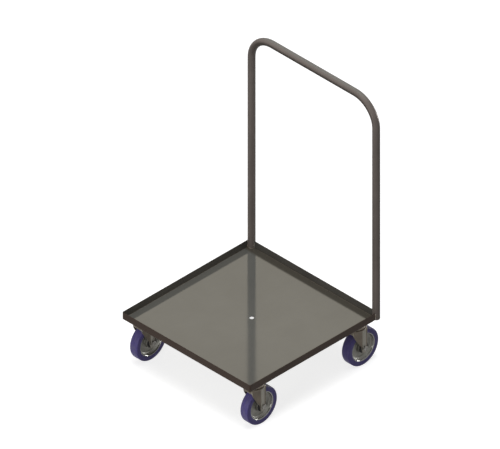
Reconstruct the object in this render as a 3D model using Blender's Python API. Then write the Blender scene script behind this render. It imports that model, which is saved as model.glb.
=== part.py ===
# Dish rack dolly: a shallow square pan on four swivel casters, with a bent tube push handle.
# Metres, +Z up. The origin is on the floor, under the middle of the whole dolly.
# X runs across the dolly, along the handle bar. The handle stands on the +Y side.
# All four casters trail towards +Y, as they do when the dolly is pushed towards -Y.

import math

import bmesh
import bpy
from mathutils import Matrix

# Clearance between pieces that touch, and how far shapes of one piece reach into each other
FIT = 0.0003
BLEND = 0.0005
OVERRUN = 0.002

# Pan, outside sizes
PAN_WIDTH = 0.5334
PAN_DEPTH = 0.5334
PAN_WALL_HEIGHT = 0.0256
PAN_SHEET = 0.0015
PAN_BEND_RADIUS = 0.003
DRAIN_DIAMETER = 0.014
DRAIN_SETBACK = 0.0075

# Push handle: the bar height is from the pan's underside to the bar's centre line,
# and the leg inset is from the pan's side to the leg's centre line
TUBE_DIAMETER = 0.024
TUBE_WALL = 0.0015
BAR_HEIGHT = 0.773
HANDLE_BEND_RADIUS = 0.088
LEG_INSET = 0.0068

# Stiffener bars under the pan, which carry the casters on welded studs
STIFFENER_THICKNESS = 0.002
STIFFENER_DEPTH = 0.098
STIFFENER_INSET = 0.0067
STUD_DIAMETER = 0.008
STUD_TAIL = 0.001

# Caster top plate, its slots, and the nuts on the studs
PLATE_WIDTH = 0.060
PLATE_DEPTH = 0.092
PLATE_THICKNESS = 0.003
PLATE_CORNER_RADIUS = 0.006
STUD_SPACING_X = 0.037
STUD_SPACING_Y = 0.072
SLOT_WIDTH = 0.0088
SLOT_LENGTH = 0.0125
PLATE_NUT_FLATS = 0.013
PLATE_NUT_HEIGHT = 0.004

# Where the swivel axes stand, in from the pan's sides
SWIVEL_INSET_X = 0.0363
SWIVEL_INSET_Y = 0.0551

# Kingpin, its nut and the ball race round it
KINGPIN_DIAMETER = 0.012
KINGPIN_HEAD_DIAMETER = 0.0224
KINGPIN_HEAD_HEIGHT = 0.0015
KINGPIN_NUT_FLATS = 0.019
KINGPIN_NUT_HEIGHT = 0.007
KINGPIN_TAIL = 0.0015
RACE_DIAMETER = 0.054
RACE_HEIGHT = 0.0072
RACE_CHAMFER = 0.002

# Swivel fork: the trail is how far the axle stands behind the swivel axis. Its front and rear
# are from the swivel axis, and the waist and the round end of its legs from the axle
FORK_SHEET = 0.003
CROWN_DIAMETER = 0.063
CROWN_SKIRT = 0.0135
CROWN_CHAMFER = 0.002
TRAIL = 0.0175
FORK_END_RADIUS = 0.0095
FORK_END_DROP = 0.008
FORK_WAIST = 0.0125
FORK_WAIST_RISE = 0.008
FORK_SHOULDER = 0.018
FORK_FRONT = 0.0275
FORK_REAR = 0.0295
RIB_WIDTH = 0.011
RIB_HEIGHT = 0.0016
RIB_TAPER = 0.002
RIB_SETBACK = 0.0152
RIB_ABOVE_AXLE = 0.0095

# Wheel
WHEEL_DIAMETER = 0.127
TYRE_WIDTH = 0.030
TYRE_DEPTH = 0.0151
TYRE_EDGE_RADIUS = 0.003
RIM_WIDTH = 0.0288
RIM_LIP = 0.0022
DISH_DEPTH = 0.0115
DISH_TAPER = 0.004
HUB_DIAMETER = 0.038
SLEEVE_DIAMETER = 0.016
AXLE_DIAMETER = 0.0095
AXLE_HEX_FLATS = 0.0143
AXLE_HEAD_HEIGHT = 0.006
AXLE_NUT_HEIGHT = 0.0075
AXLE_TAIL = 0.002

# Room between the kingpin's end and the tyre, and between the tyre and a fork leg
PIN_TO_TYRE = 0.005
LEG_TO_TYRE = 0.001

WHEEL_SIDES = 26
CROWN_SIDES = 20
TUBE_SIDES = 16
BOLT_SIDES = 12
BEND_STEPS = 6
ARC_STEPS = 4
CORNER_STEPS = 2
SHARP_ANGLE = math.radians(32)
# What the chamfer on a nut or a bolt head leaves of its height
HEX_CHAMFER_SHARE = 0.88

# Heights, built up from the floor: the wheel stands on one of its flats
WHEEL_RADIUS = WHEEL_DIAMETER / 2
AXLE_Z = WHEEL_RADIUS * math.cos(math.pi / WHEEL_SIDES)
KINGPIN_END_Z = AXLE_Z + WHEEL_RADIUS + PIN_TO_TYRE
KINGPIN_NUT_TOP_Z = KINGPIN_END_Z + KINGPIN_TAIL + KINGPIN_NUT_HEIGHT
CROWN_TOP_Z = KINGPIN_NUT_TOP_Z + FIT + FORK_SHEET
RACE_TOP_Z = CROWN_TOP_Z + FIT + RACE_HEIGHT
PLATE_TOP_Z = RACE_TOP_Z + FIT + PLATE_THICKNESS
STIFFENER_TOP_Z = PLATE_TOP_Z + FIT + STIFFENER_THICKNESS
PAN_BOTTOM_Z = STIFFENER_TOP_Z + FIT

# Places in plan. The handle's legs stand on the pan's rear face, so half a tube reaches out
# behind it, and the rear wheels reach out further: the pan sits forward to keep the origin central.
LEG_RADIUS = TUBE_DIAMETER / 2
LEG_X = PAN_WIDTH / 2 - LEG_INSET
SWIVEL_X = PAN_WIDTH / 2 - SWIVEL_INSET_X
SWIVEL_OFFSET_Y = PAN_DEPTH / 2 - SWIVEL_INSET_Y
REAR_REACH = max(LEG_RADIUS, TRAIL + WHEEL_RADIUS - SWIVEL_INSET_Y)
PAN_CENTRE_Y = -REAR_REACH / 2
PAN_BACK_Y = PAN_CENTRE_Y + PAN_DEPTH / 2

FORK_INNER_X = TYRE_WIDTH / 2 + LEG_TO_TYRE
FORK_OUTER_X = FORK_INNER_X + FORK_SHEET
AXLE_DROP = CROWN_TOP_Z - AXLE_Z
CORE_RADIUS = WHEEL_RADIUS - TYRE_DEPTH
COUNTERBORE_DEPTH = KINGPIN_HEAD_HEIGHT + FIT

X_AXIS_TURN = Matrix.Rotation(math.pi / 2, 4, "Y")


def clear_scene():
    for obj in list(bpy.data.objects):
        bpy.data.objects.remove(obj, do_unlink=True)


def make_material(name, colour, roughness, metallic):
    material = bpy.data.materials.new(name)
    material.use_nodes = True
    shader = material.node_tree.nodes["Principled BSDF"]
    shader.inputs["Base Color"].default_value = (*colour, 1)
    shader.inputs["Roughness"].default_value = roughness
    shader.inputs["Metallic"].default_value = metallic
    return material


def mesh_from(bm, name):
    bmesh.ops.recalc_face_normals(bm, faces=bm.faces)
    mesh = bpy.data.meshes.new(name)
    bm.to_mesh(mesh)
    bm.free()
    mesh.shade_smooth()
    mesh.set_sharp_from_angle(angle=SHARP_ANGLE)
    return mesh


def add_object(name, mesh, material=None, location=(0, 0, 0), parent=None):
    obj = bpy.data.objects.new(name, mesh)
    bpy.context.scene.collection.objects.link(obj)
    obj.parent = parent
    obj.location = location
    if material:
        obj.data.materials.clear()
        obj.data.materials.append(material)
    return obj


def add_empty(name, location, parent=None):
    empty = add_object(name, None, location=location, parent=parent)
    empty.empty_display_size = WHEEL_RADIUS / 2
    return empty


def combined(base, others, operation, name):
    """The base mesh with each of the other meshes added to it or cut from it."""
    holder = add_object(name + "_holder", base)
    tools = []
    for other in others:
        tool = add_object(name + "_tool", other)
        tool.hide_render = True
        tool.display_type = "WIRE"
        tools.append(tool)
        modifier = holder.modifiers.new(operation.lower(), "BOOLEAN")
        modifier.operation = operation
        modifier.solver = "EXACT"
        modifier.object = tool
    graph = bpy.context.evaluated_depsgraph_get()
    result = bpy.data.meshes.new_from_object(holder.evaluated_get(graph))
    result.name = name
    for obj in [holder, *tools]:
        bpy.data.objects.remove(obj, do_unlink=True)
    result.shade_smooth()
    result.set_sharp_from_angle(angle=SHARP_ANGLE)
    return result


def box_mesh(name, size, centre, rounded=(), radius=0.0, steps=CORNER_STEPS):
    """A box whose edges along the axes in rounded, or round its bottom, are rounded."""
    bm = bmesh.new()
    place = Matrix.Translation(centre) @ Matrix.Diagonal((*size, 1))
    bmesh.ops.create_cube(bm, size=1, matrix=place)
    edges = []
    for edge in bm.edges:
        ends = edge.verts[1].co - edge.verts[0].co
        upright = abs(ends.z) > abs(ends.x) + abs(ends.y)
        at_bottom = max(vert.co.z for vert in edge.verts) < centre[2]
        if ("upright" in rounded and upright) or ("bottom" in rounded and at_bottom):
            edges.append(edge)
    if edges:
        bmesh.ops.bevel(bm, geom=edges, offset=radius, segments=steps, profile=0.5, affect="EDGES")
    return mesh_from(bm, name)


def ring_points(radius, sides, hexagonal, phase):
    """One ring round Z. A hexagonal ring has a corner at each even point, and its flats are radius away."""
    points = []
    for i in range(sides):
        angle = 2 * math.pi * (i + phase) / sides
        reach = radius / math.cos(math.pi / 6) if hexagonal and i % 2 == 0 else radius
        points.append((reach * math.cos(angle), reach * math.sin(angle)))
    return points


def turned_mesh(name, rings, sides, hollow, phase=0.0, matrix=None):
    """A turned piece round Z from rings of (height, radius) or (height, radius, True) for a hexagon.
    A hollow piece's rings go all the way round its wall, and a solid one's from end to end."""
    bm = bmesh.new()
    loops = []
    for ring in rings:
        hexagonal = len(ring) > 2 and ring[2]
        points = ring_points(ring[1], sides, hexagonal, phase)
        loops.append([bm.verts.new((x, y, ring[0])) for x, y in points])
    pairs = list(zip(loops, loops[1:]))
    if hollow:
        pairs.append((loops[-1], loops[0]))
    for lower, upper in pairs:
        for i in range(sides):
            j = (i + 1) % sides
            bm.faces.new((lower[i], lower[j], upper[j], upper[i]))
    if not hollow:
        bm.faces.new(loops[0])
        bm.faces.new(loops[-1])
    if matrix:
        bmesh.ops.transform(bm, matrix=matrix, verts=bm.verts)
    return mesh_from(bm, name)


def plate_mesh(name, outline, low, high):
    """A flat plate from an outline of (y, z) points, reaching from low to high along X."""
    bm = bmesh.new()
    near = [bm.verts.new((low, y, z)) for y, z in outline]
    far = [bm.verts.new((high, y, z)) for y, z in outline]
    bm.faces.new(near)
    bm.faces.new(far)
    for i in range(len(outline)):
        j = (i + 1) % len(outline)
        bm.faces.new((near[i], near[j], far[j], far[i]))
    return mesh_from(bm, name)


def slot_mesh(name, centre, width, length, low, high):
    """An upright cutter with round ends, long along Y."""
    bm = bmesh.new()
    outline = []
    for side, start in ((1, 0.0), (-1, math.pi)):
        for i in range(ARC_STEPS + 1):
            angle = start + math.pi * i / ARC_STEPS
            x = centre[0] + width / 2 * math.cos(angle)
            y = centre[1] + side * (length - width) / 2 + width / 2 * math.sin(angle)
            outline.append((x, y))
    lower = [bm.verts.new((x, y, low)) for x, y in outline]
    upper = [bm.verts.new((x, y, high)) for x, y in outline]
    bm.faces.new(lower)
    bm.faces.new(upper)
    for i in range(len(outline)):
        j = (i + 1) % len(outline)
        bm.faces.new((lower[i], lower[j], upper[j], upper[i]))
    return mesh_from(bm, name)


def cylinder_mesh(name, radius, low, high, sides, centre=(0, 0)):
    place = Matrix.Translation((centre[0], centre[1], 0))
    return turned_mesh(name, [(low, radius), (high, radius)], sides, False, matrix=place)


def hex_nut_mesh(name, flats, height, bore, matrix=None):
    """A nut that hangs below z = 0, with its chamfer underneath."""
    rings = [
        (0, bore),
        (0, flats / 2, True),
        (-height * HEX_CHAMFER_SHARE, flats / 2, True),
        (-height, flats / 2),
        (-height, bore),
    ]
    return turned_mesh(name, rings, BOLT_SIDES, True, matrix=matrix)


# Pan: one sheet with four walls, notched round the handle's legs
def pan_mesh():
    top = PAN_BOTTOM_Z + PAN_WALL_HEIGHT
    outer_centre = (0, PAN_CENTRE_Y, (PAN_BOTTOM_Z + top) / 2)
    outer = box_mesh(
        "pan_outer", (PAN_WIDTH, PAN_DEPTH, PAN_WALL_HEIGHT), outer_centre, ("bottom",), PAN_BEND_RADIUS
    )
    well_height = PAN_WALL_HEIGHT - PAN_SHEET + OVERRUN
    well_centre = (0, PAN_CENTRE_Y, PAN_BOTTOM_Z + PAN_SHEET + well_height / 2)
    well_size = (PAN_WIDTH - 2 * PAN_SHEET, PAN_DEPTH - 2 * PAN_SHEET, well_height)
    well = box_mesh("pan_well", well_size, well_centre, ("bottom",), PAN_BEND_RADIUS - PAN_SHEET)
    low = PAN_BOTTOM_Z - OVERRUN
    high = top + OVERRUN
    drain_at = (0, PAN_CENTRE_Y + DRAIN_SETBACK)
    cutters = [well, cylinder_mesh("drain", DRAIN_DIAMETER / 2, low, high, CROWN_SIDES, drain_at)]
    for side in (-1, 1):
        at = (side * LEG_X, PAN_BACK_Y)
        cutters.append(cylinder_mesh("leg_notch", LEG_RADIUS + FIT, low, high, CROWN_SIDES, at))
    return combined(outer, cutters, "DIFFERENCE", "pan_tray")


# Push handle: a hollow tube, up one leg, across and down the other
def handle_path():
    """Points of the centre line as (x, z, angle of the path), from the left foot to the right one."""
    bar_z = PAN_BOTTOM_Z + BAR_HEIGHT
    turn_x = LEG_X - HANDLE_BEND_RADIUS
    turn_z = bar_z - HANDLE_BEND_RADIUS
    path = [(-LEG_X, PAN_BOTTOM_Z, math.pi / 2)]
    for side, first in ((-1, math.pi), (1, math.pi / 2)):
        for i in range(BEND_STEPS + 1):
            angle = first - math.pi / 2 * i / BEND_STEPS
            x = side * turn_x + HANDLE_BEND_RADIUS * math.cos(angle)
            z = turn_z + HANDLE_BEND_RADIUS * math.sin(angle)
            path.append((x, z, angle - math.pi / 2))
    path.append((LEG_X, PAN_BOTTOM_Z, -math.pi / 2))
    return path


def handle_mesh():
    bm = bmesh.new()
    skins = []
    for radius in (LEG_RADIUS, LEG_RADIUS - TUBE_WALL):
        skin = []
        for x, z, heading in handle_path():
            ring = []
            for i in range(TUBE_SIDES):
                angle = 2 * math.pi * i / TUBE_SIDES
                out = radius * math.cos(angle)
                back = radius * math.sin(angle)
                point = (x - out * math.sin(heading), PAN_BACK_Y + back, z + out * math.cos(heading))
                ring.append(bm.verts.new(point))
            skin.append(ring)
        skins.append(skin)
        for lower, upper in zip(skin, skin[1:]):
            for i in range(TUBE_SIDES):
                j = (i + 1) % TUBE_SIDES
                bm.faces.new((lower[i], lower[j], upper[j], upper[i]))
    outer, inner = skins
    for end in (0, -1):
        for i in range(TUBE_SIDES):
            j = (i + 1) % TUBE_SIDES
            bm.faces.new((outer[end][i], outer[end][j], inner[end][j], inner[end][i]))
    return mesh_from(bm, "handle_tube")


# Stiffener bar with the studs of its two casters, in the frame of its own middle at its top face
def stiffener_mesh():
    width = PAN_WIDTH - 2 * STIFFENER_INSET
    bar = box_mesh(
        "stiffener_bar",
        (width, STIFFENER_DEPTH, STIFFENER_THICKNESS),
        (0, 0, -STIFFENER_THICKNESS / 2),
        ("upright",),
        PLATE_CORNER_RADIUS,
    )
    end = -STIFFENER_THICKNESS - FIT - PLATE_THICKNESS - FIT - PLATE_NUT_HEIGHT - STUD_TAIL
    studs = []
    for x in (-SWIVEL_X, SWIVEL_X):
        for stud_x, stud_y in stud_places():
            studs.append(
                cylinder_mesh(
                    "stud", STUD_DIAMETER / 2, end, -STIFFENER_THICKNESS / 2, BOLT_SIDES, (x + stud_x, stud_y)
                )
            )
    return combined(bar, studs, "UNION", "stiffener_bar")


def stud_places():
    """Where the four studs of one caster stand, from its swivel axis."""
    return [(x * STUD_SPACING_X / 2, y * STUD_SPACING_Y / 2) for x in (-1, 1) for y in (-1, 1)]


# Caster top plate, hanging below z = 0 at its top face
def top_plate_mesh():
    plate = box_mesh(
        "caster_plate",
        (PLATE_WIDTH, PLATE_DEPTH, PLATE_THICKNESS),
        (0, 0, -PLATE_THICKNESS / 2),
        ("upright",),
        PLATE_CORNER_RADIUS,
    )
    low = -PLATE_THICKNESS - OVERRUN
    cutters = [
        slot_mesh("slot", place, SLOT_WIDTH, SLOT_LENGTH, low, OVERRUN) for place in stud_places()
    ]
    head_seat = KINGPIN_HEAD_DIAMETER / 2 + FIT
    cutters.append(cylinder_mesh("counterbore", head_seat, -COUNTERBORE_DEPTH, OVERRUN, CROWN_SIDES))
    cutters.append(cylinder_mesh("pin_hole", KINGPIN_DIAMETER / 2 + FIT, low, OVERRUN, CROWN_SIDES))
    return combined(plate, cutters, "DIFFERENCE", "caster_plate")


# Kingpin, from its head in the plate down through race and crown, with z = 0 at the plate's top face
def kingpin_mesh():
    end = KINGPIN_END_Z - PLATE_TOP_Z
    rings = [
        (end, KINGPIN_DIAMETER / 2 - BLEND),
        (end + BLEND, KINGPIN_DIAMETER / 2),
        (-KINGPIN_HEAD_HEIGHT, KINGPIN_DIAMETER / 2),
        (-KINGPIN_HEAD_HEIGHT, KINGPIN_HEAD_DIAMETER / 2),
        (0, KINGPIN_HEAD_DIAMETER / 2),
    ]
    return turned_mesh("kingpin", rings, CROWN_SIDES, False)


# Ball race ring, hanging below z = 0 at its top
def race_mesh():
    bore = KINGPIN_DIAMETER / 2 + FIT
    radius = RACE_DIAMETER / 2
    rings = [
        (0, bore),
        (0, radius - RACE_CHAMFER),
        (-RACE_CHAMFER, radius),
        (-RACE_HEIGHT + RACE_CHAMFER, radius),
        (-RACE_HEIGHT, radius - RACE_CHAMFER),
        (-RACE_HEIGHT, bore),
    ]
    return turned_mesh("swivel_race", rings, CROWN_SIDES, True)


# Swivel fork, with its swivel axis on Z and z = 0 at the top of its crown
def crown_mesh():
    bore = KINGPIN_DIAMETER / 2 + FIT
    radius = CROWN_DIAMETER / 2
    rings = [
        (0, bore),
        (0, radius - CROWN_CHAMFER),
        (-CROWN_CHAMFER, radius),
        (-CROWN_SKIRT, radius),
        (-CROWN_SKIRT, radius - FORK_SHEET),
        (-FORK_SHEET, radius - FORK_SHEET),
        (-FORK_SHEET, bore),
    ]
    return turned_mesh("fork_crown", rings, CROWN_SIDES, True)


def leg_outline():
    """The side view of a fork leg as (y, z): its front edge slopes back to a waist above the round end."""
    top = -FORK_SHEET + BLEND
    centre_z = -AXLE_DROP - FORK_END_DROP
    outline = [
        (FORK_REAR, top),
        (-FORK_FRONT, top),
        (-FORK_FRONT, -FORK_SHEET - FORK_SHOULDER),
        (TRAIL - FORK_WAIST, -AXLE_DROP + FORK_WAIST_RISE),
    ]
    for i in range(BEND_STEPS + 1):
        angle = math.pi * (1 + i / BEND_STEPS)
        y = TRAIL + FORK_END_RADIUS * math.cos(angle)
        outline.append((y, centre_z + FORK_END_RADIUS * math.sin(angle)))
    return outline


def rib_mesh(side):
    """The pressed rib down the outside of one leg: a low block with sloped flanks."""
    base_x = side * (FORK_OUTER_X - BLEND)
    crest_x = side * (FORK_OUTER_X + RIB_HEIGHT)
    top = -FORK_SHEET - BLEND
    bottom = -AXLE_DROP + RIB_ABOVE_AXLE
    half = RIB_WIDTH / 2
    bm = bmesh.new()
    loops = []
    for x, inset in ((base_x, 0), (crest_x, RIB_TAPER)):
        corners = [
            (RIB_SETBACK - half + inset, top),
            (RIB_SETBACK + half - inset, top),
            (RIB_SETBACK + half - inset, bottom + inset),
            (RIB_SETBACK - half + inset, bottom + inset),
        ]
        loops.append([bm.verts.new((x, y, z)) for y, z in corners])
    base, crest = loops
    bm.faces.new(base)
    bm.faces.new(crest)
    for i in range(len(base)):
        j = (i + 1) % len(base)
        bm.faces.new((base[i], base[j], crest[j], crest[i]))
    return mesh_from(bm, "leg_rib")


def fork_mesh():
    pieces = []
    for side in (-1, 1):
        low, high = sorted((side * FORK_INNER_X, side * FORK_OUTER_X))
        pieces.append(plate_mesh("fork_leg", leg_outline(), low, high))
        pieces.append(rib_mesh(side))
    joined = combined(crown_mesh(), pieces, "UNION", "fork_blank")
    reach = FORK_OUTER_X + RIB_HEIGHT + OVERRUN
    at_axle = Matrix.Translation((0, TRAIL, -AXLE_DROP)) @ X_AXIS_TURN
    bore = turned_mesh(
        "axle_bore",
        [(-reach, AXLE_DIAMETER / 2 + FIT), (reach, AXLE_DIAMETER / 2 + FIT)],
        BOLT_SIDES,
        False,
        matrix=at_axle,
    )
    return combined(joined, [bore], "DIFFERENCE", "swivel_fork")


# Axle bolt along X, with its middle at the wheel's middle and its head on the +X side
def axle_bolt_mesh():
    seat = FORK_OUTER_X + FIT
    end = -seat - AXLE_NUT_HEIGHT - AXLE_TAIL
    radius = AXLE_DIAMETER / 2
    head = AXLE_HEAD_HEIGHT * HEX_CHAMFER_SHARE
    rings = [
        (end, radius - BLEND),
        (end + BLEND, radius),
        (seat, radius),
        (seat, AXLE_HEX_FLATS / 2, True),
        (seat + head, AXLE_HEX_FLATS / 2, True),
        (seat + AXLE_HEAD_HEIGHT, AXLE_HEX_FLATS / 2),
    ]
    return turned_mesh("axle_bolt", rings, BOLT_SIDES, False, matrix=X_AXIS_TURN)


def axle_nut_mesh():
    place = Matrix.Translation((-FORK_OUTER_X - FIT, 0, 0)) @ X_AXIS_TURN
    bore = AXLE_DIAMETER / 2 + FIT
    return hex_nut_mesh("axle_nut", AXLE_HEX_FLATS, AXLE_NUT_HEIGHT, bore, place)


def sleeve_mesh():
    half = FORK_INNER_X - FIT
    bore = AXLE_DIAMETER / 2 + FIT
    radius = SLEEVE_DIAMETER / 2
    rings = [(-half, bore), (-half, radius), (half, radius), (half, bore)]
    return turned_mesh("bearing_sleeve", rings, BOLT_SIDES, True, matrix=X_AXIS_TURN)


# Wheel core along X: a dished web between the hub and the rim that carries the tyre
def core_mesh():
    half_rim = RIM_WIDTH / 2
    half_web = half_rim - DISH_DEPTH
    half_hub = FORK_INNER_X - FIT
    lip = CORE_RADIUS - RIM_LIP
    hub = HUB_DIAMETER / 2
    bore = SLEEVE_DIAMETER / 2 + FIT
    right = [
        (half_rim, CORE_RADIUS),
        (half_rim, lip),
        (half_web, lip - DISH_TAPER),
        (half_web, hub),
        (half_hub, hub),
        (half_hub, bore),
    ]
    left = [(-x, radius) for x, radius in reversed(right)]
    return turned_mesh("wheel_core", right + left, WHEEL_SIDES, True, phase=0.5, matrix=X_AXIS_TURN)


def tyre_mesh():
    half = TYRE_WIDTH / 2
    seat = CORE_RADIUS + FIT
    right = [(half, seat)]
    for i in range(CORNER_STEPS + 1):
        angle = math.pi / 2 * i / CORNER_STEPS
        x = half - TYRE_EDGE_RADIUS * (1 - math.cos(angle))
        right.append((x, WHEEL_RADIUS - TYRE_EDGE_RADIUS * (1 - math.sin(angle))))
    left = [(-x, radius) for x, radius in reversed(right)]
    return turned_mesh("tyre", right + left, WHEEL_SIDES, True, phase=0.5, matrix=X_AXIS_TURN)


def add_frame(materials):
    add_object("tray_pan", pan_mesh(), materials["pan_steel"])
    add_object("push_handle", handle_mesh(), materials["tube_steel"])
    bar = stiffener_mesh()
    for name, side in (("front_stiffener", -1), ("rear_stiffener", 1)):
        place = (0, PAN_CENTRE_Y + side * SWIVEL_OFFSET_Y, STIFFENER_TOP_Z)
        add_object(name, bar, materials["bar_steel"], place)


def caster_meshes():
    stud_bore = STUD_DIAMETER / 2 + FIT
    pin_bore = KINGPIN_DIAMETER / 2 + FIT
    return {
        "top_plate": top_plate_mesh(),
        "plate_nut": hex_nut_mesh("plate_nut", PLATE_NUT_FLATS, PLATE_NUT_HEIGHT, stud_bore),
        "swivel_race": race_mesh(),
        "kingpin": kingpin_mesh(),
        "kingpin_nut": hex_nut_mesh("kingpin_nut", KINGPIN_NUT_FLATS, KINGPIN_NUT_HEIGHT, pin_bore),
        "swivel_fork": fork_mesh(),
        "axle_bolt": axle_bolt_mesh(),
        "axle_nut": axle_nut_mesh(),
        "bearing_sleeve": sleeve_mesh(),
        "wheel_core": core_mesh(),
        "tyre": tyre_mesh(),
    }


def add_caster(corner, x, y, meshes, materials):
    """One caster with its swivel axis at (x, y). Fork and wheel hang on empties on their joint axes."""
    plate_z = PLATE_TOP_Z
    nut_z = PLATE_TOP_Z - PLATE_THICKNESS - FIT
    fixed = [
        ("top_plate", "plate_steel", plate_z),
        ("kingpin", "fastener_steel", plate_z),
        ("swivel_race", "race_steel", RACE_TOP_Z),
        ("kingpin_nut", "fastener_steel", KINGPIN_NUT_TOP_Z),
    ]
    for piece, finish, z in fixed:
        add_object(f"{corner}_{piece}", meshes[piece], materials[finish], (x, y, z))
    for number, (stud_x, stud_y) in enumerate(stud_places(), 1):
        place = (x + stud_x, y + stud_y, nut_z)
        add_object(f"{corner}_plate_nut_{number}", meshes["plate_nut"], materials["fastener_steel"], place)
    swivel = add_empty(f"{corner}_swivel_axis", (x, y, CROWN_TOP_Z))
    add_object(f"{corner}_swivel_fork", meshes["swivel_fork"], materials["fork_steel"], parent=swivel)
    axle = add_empty(f"{corner}_axle_axis", (0, TRAIL, -AXLE_DROP), swivel)
    on_axle = [
        ("axle_bolt", "fastener_steel"),
        ("axle_nut", "fastener_steel"),
        ("bearing_sleeve", "race_steel"),
        ("wheel_core", "core_aluminium"),
        ("tyre", "tyre_polyurethane"),
    ]
    for piece, finish in on_axle:
        add_object(f"{corner}_{piece}", meshes[piece], materials[finish], parent=axle)


def main():
    clear_scene()
    materials = {
        "pan_steel": make_material("pan_steel", (0.23, 0.215, 0.18), 0.2, 0.9),
        "tube_steel": make_material("tube_steel", (0.10, 0.085, 0.075), 0.3, 0.9),
        "bar_steel": make_material("bar_steel", (0.20, 0.19, 0.17), 0.35, 0.9),
        "plate_steel": make_material("plate_steel", (0.18, 0.16, 0.14), 0.35, 0.9),
        "race_steel": make_material("race_steel", (0.30, 0.29, 0.27), 0.3, 0.9),
        "fork_steel": make_material("fork_steel", (0.12, 0.105, 0.085), 0.3, 0.8),
        "fastener_steel": make_material("fastener_steel", (0.16, 0.15, 0.14), 0.3, 0.9),
        "core_aluminium": make_material("core_aluminium", (0.16, 0.155, 0.135), 0.35, 0.7),
        "tyre_polyurethane": make_material("tyre_polyurethane", (0.07, 0.05, 0.16), 0.45, 0.0),
    }
    add_frame(materials)
    meshes = caster_meshes()
    front_y = PAN_CENTRE_Y - SWIVEL_OFFSET_Y
    rear_y = PAN_CENTRE_Y + SWIVEL_OFFSET_Y
    add_caster("front_left", SWIVEL_X, front_y, meshes, materials)
    add_caster("front_right", -SWIVEL_X, front_y, meshes, materials)
    add_caster("rear_left", SWIVEL_X, rear_y, meshes, materials)
    add_caster("rear_right", -SWIVEL_X, rear_y, meshes, materials)


main()
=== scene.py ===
import math

import bmesh
import bpy
from mathutils import Matrix, Vector


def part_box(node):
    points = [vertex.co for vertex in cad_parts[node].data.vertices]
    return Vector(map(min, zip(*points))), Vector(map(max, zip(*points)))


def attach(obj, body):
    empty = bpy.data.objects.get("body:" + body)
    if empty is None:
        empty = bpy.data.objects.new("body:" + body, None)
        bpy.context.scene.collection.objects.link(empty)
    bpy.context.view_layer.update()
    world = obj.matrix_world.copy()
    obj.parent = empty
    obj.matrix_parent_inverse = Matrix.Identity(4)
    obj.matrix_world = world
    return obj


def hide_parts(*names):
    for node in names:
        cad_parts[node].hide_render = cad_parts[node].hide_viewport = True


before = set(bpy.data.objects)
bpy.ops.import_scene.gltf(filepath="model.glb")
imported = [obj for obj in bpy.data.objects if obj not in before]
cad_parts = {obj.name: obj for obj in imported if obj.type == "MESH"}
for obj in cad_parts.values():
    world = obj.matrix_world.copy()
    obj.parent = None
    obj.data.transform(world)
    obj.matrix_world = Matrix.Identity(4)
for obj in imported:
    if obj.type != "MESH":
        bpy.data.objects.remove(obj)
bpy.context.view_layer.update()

corners = {
    "front_left": "frontLeft",
    "front_right": "frontRight",
    "rear_left": "rearLeft",
    "rear_right": "rearRight",
}
alongX = Matrix.Rotation(math.pi / 2, 4, "Y")  # turns a lathed piece onto the axle
print("dish rack dolly: frame loaded")


# mesh helpers

def smoothed(mesh, sharpAngle):  # smooth shading that stops at sharp edges
    mesh.shade_smooth()
    mesh.set_sharp_from_angle(angle=math.radians(sharpAngle))
    return mesh


def meshFrom(build, name, sharpAngle=30):
    bmesh.ops.recalc_face_normals(build, faces=build.faces)
    mesh = bpy.data.meshes.new(name)
    build.to_mesh(mesh)
    build.free()
    return smoothed(mesh, sharpAngle)


def evaluatedMesh(holder, name, sharpAngle=30):
    graph = bpy.context.evaluated_depsgraph_get()
    mesh = bpy.data.meshes.new_from_object(holder.evaluated_get(graph))
    mesh.name = name
    bpy.data.objects.remove(holder, do_unlink=True)
    return smoothed(mesh, sharpAngle)


def linked(name, data):
    made = bpy.data.objects.new(name, data)
    bpy.context.scene.collection.objects.link(made)
    return made


def shifted(mesh, x, y, z=0):
    mesh.transform(Matrix.Translation((x, y, z)))
    return mesh


def boxMiddle(node):
    low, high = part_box(node)
    return (low + high) / 2


def boxHalf(node):
    low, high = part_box(node)
    return (high - low) / 2


def combineMeshes(mesh, others, operation, name, sharpAngle=30):
    holder = linked("holder", mesh)
    tools = [linked("tool", other) for other in others]
    for tool in tools:
        modifier = holder.modifiers.new("join", "BOOLEAN")
        modifier.operation = operation
        modifier.solver = "EXACT"
        modifier.object = tool
    result = evaluatedMesh(holder, name, sharpAngle)
    for tool in tools:
        bpy.data.objects.remove(tool, do_unlink=True)
    return result


def softenEdges(mesh, width, angle, sharpAngle):
    holder = linked("holder", mesh)
    bevel = holder.modifiers.new("edges", "BEVEL")
    bevel.width = width
    bevel.segments = 2
    bevel.limit_method = "ANGLE"
    bevel.angle_limit = math.radians(angle)
    return evaluatedMesh(holder, mesh.name, sharpAngle)


def smoothStep(value):
    value = min(max(value, 0), 1)
    return value * value * (3 - 2 * value)


def evenly(start, end, count):  # count equal steps from start to end
    return [start + (end - start) * i / count for i in range(count + 1)]


def onceRound(count):
    return evenly(0, 2 * math.pi, count)[:-1]


def quarterArc(radius, steps):  # how far a rounded corner falls short of its two sides
    turns = evenly(0, math.pi / 2, steps)
    return [(radius * (1 - math.sin(turn)), radius * (1 - math.cos(turn))) for turn in turns]


def runLengths(points):  # the way along a line of points, up to each of them
    lengths = [0.0]
    for before, after in zip(points, points[1:]):
        lengths.append(lengths[-1] + (Vector(after) - Vector(before)).length)
    return lengths


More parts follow.
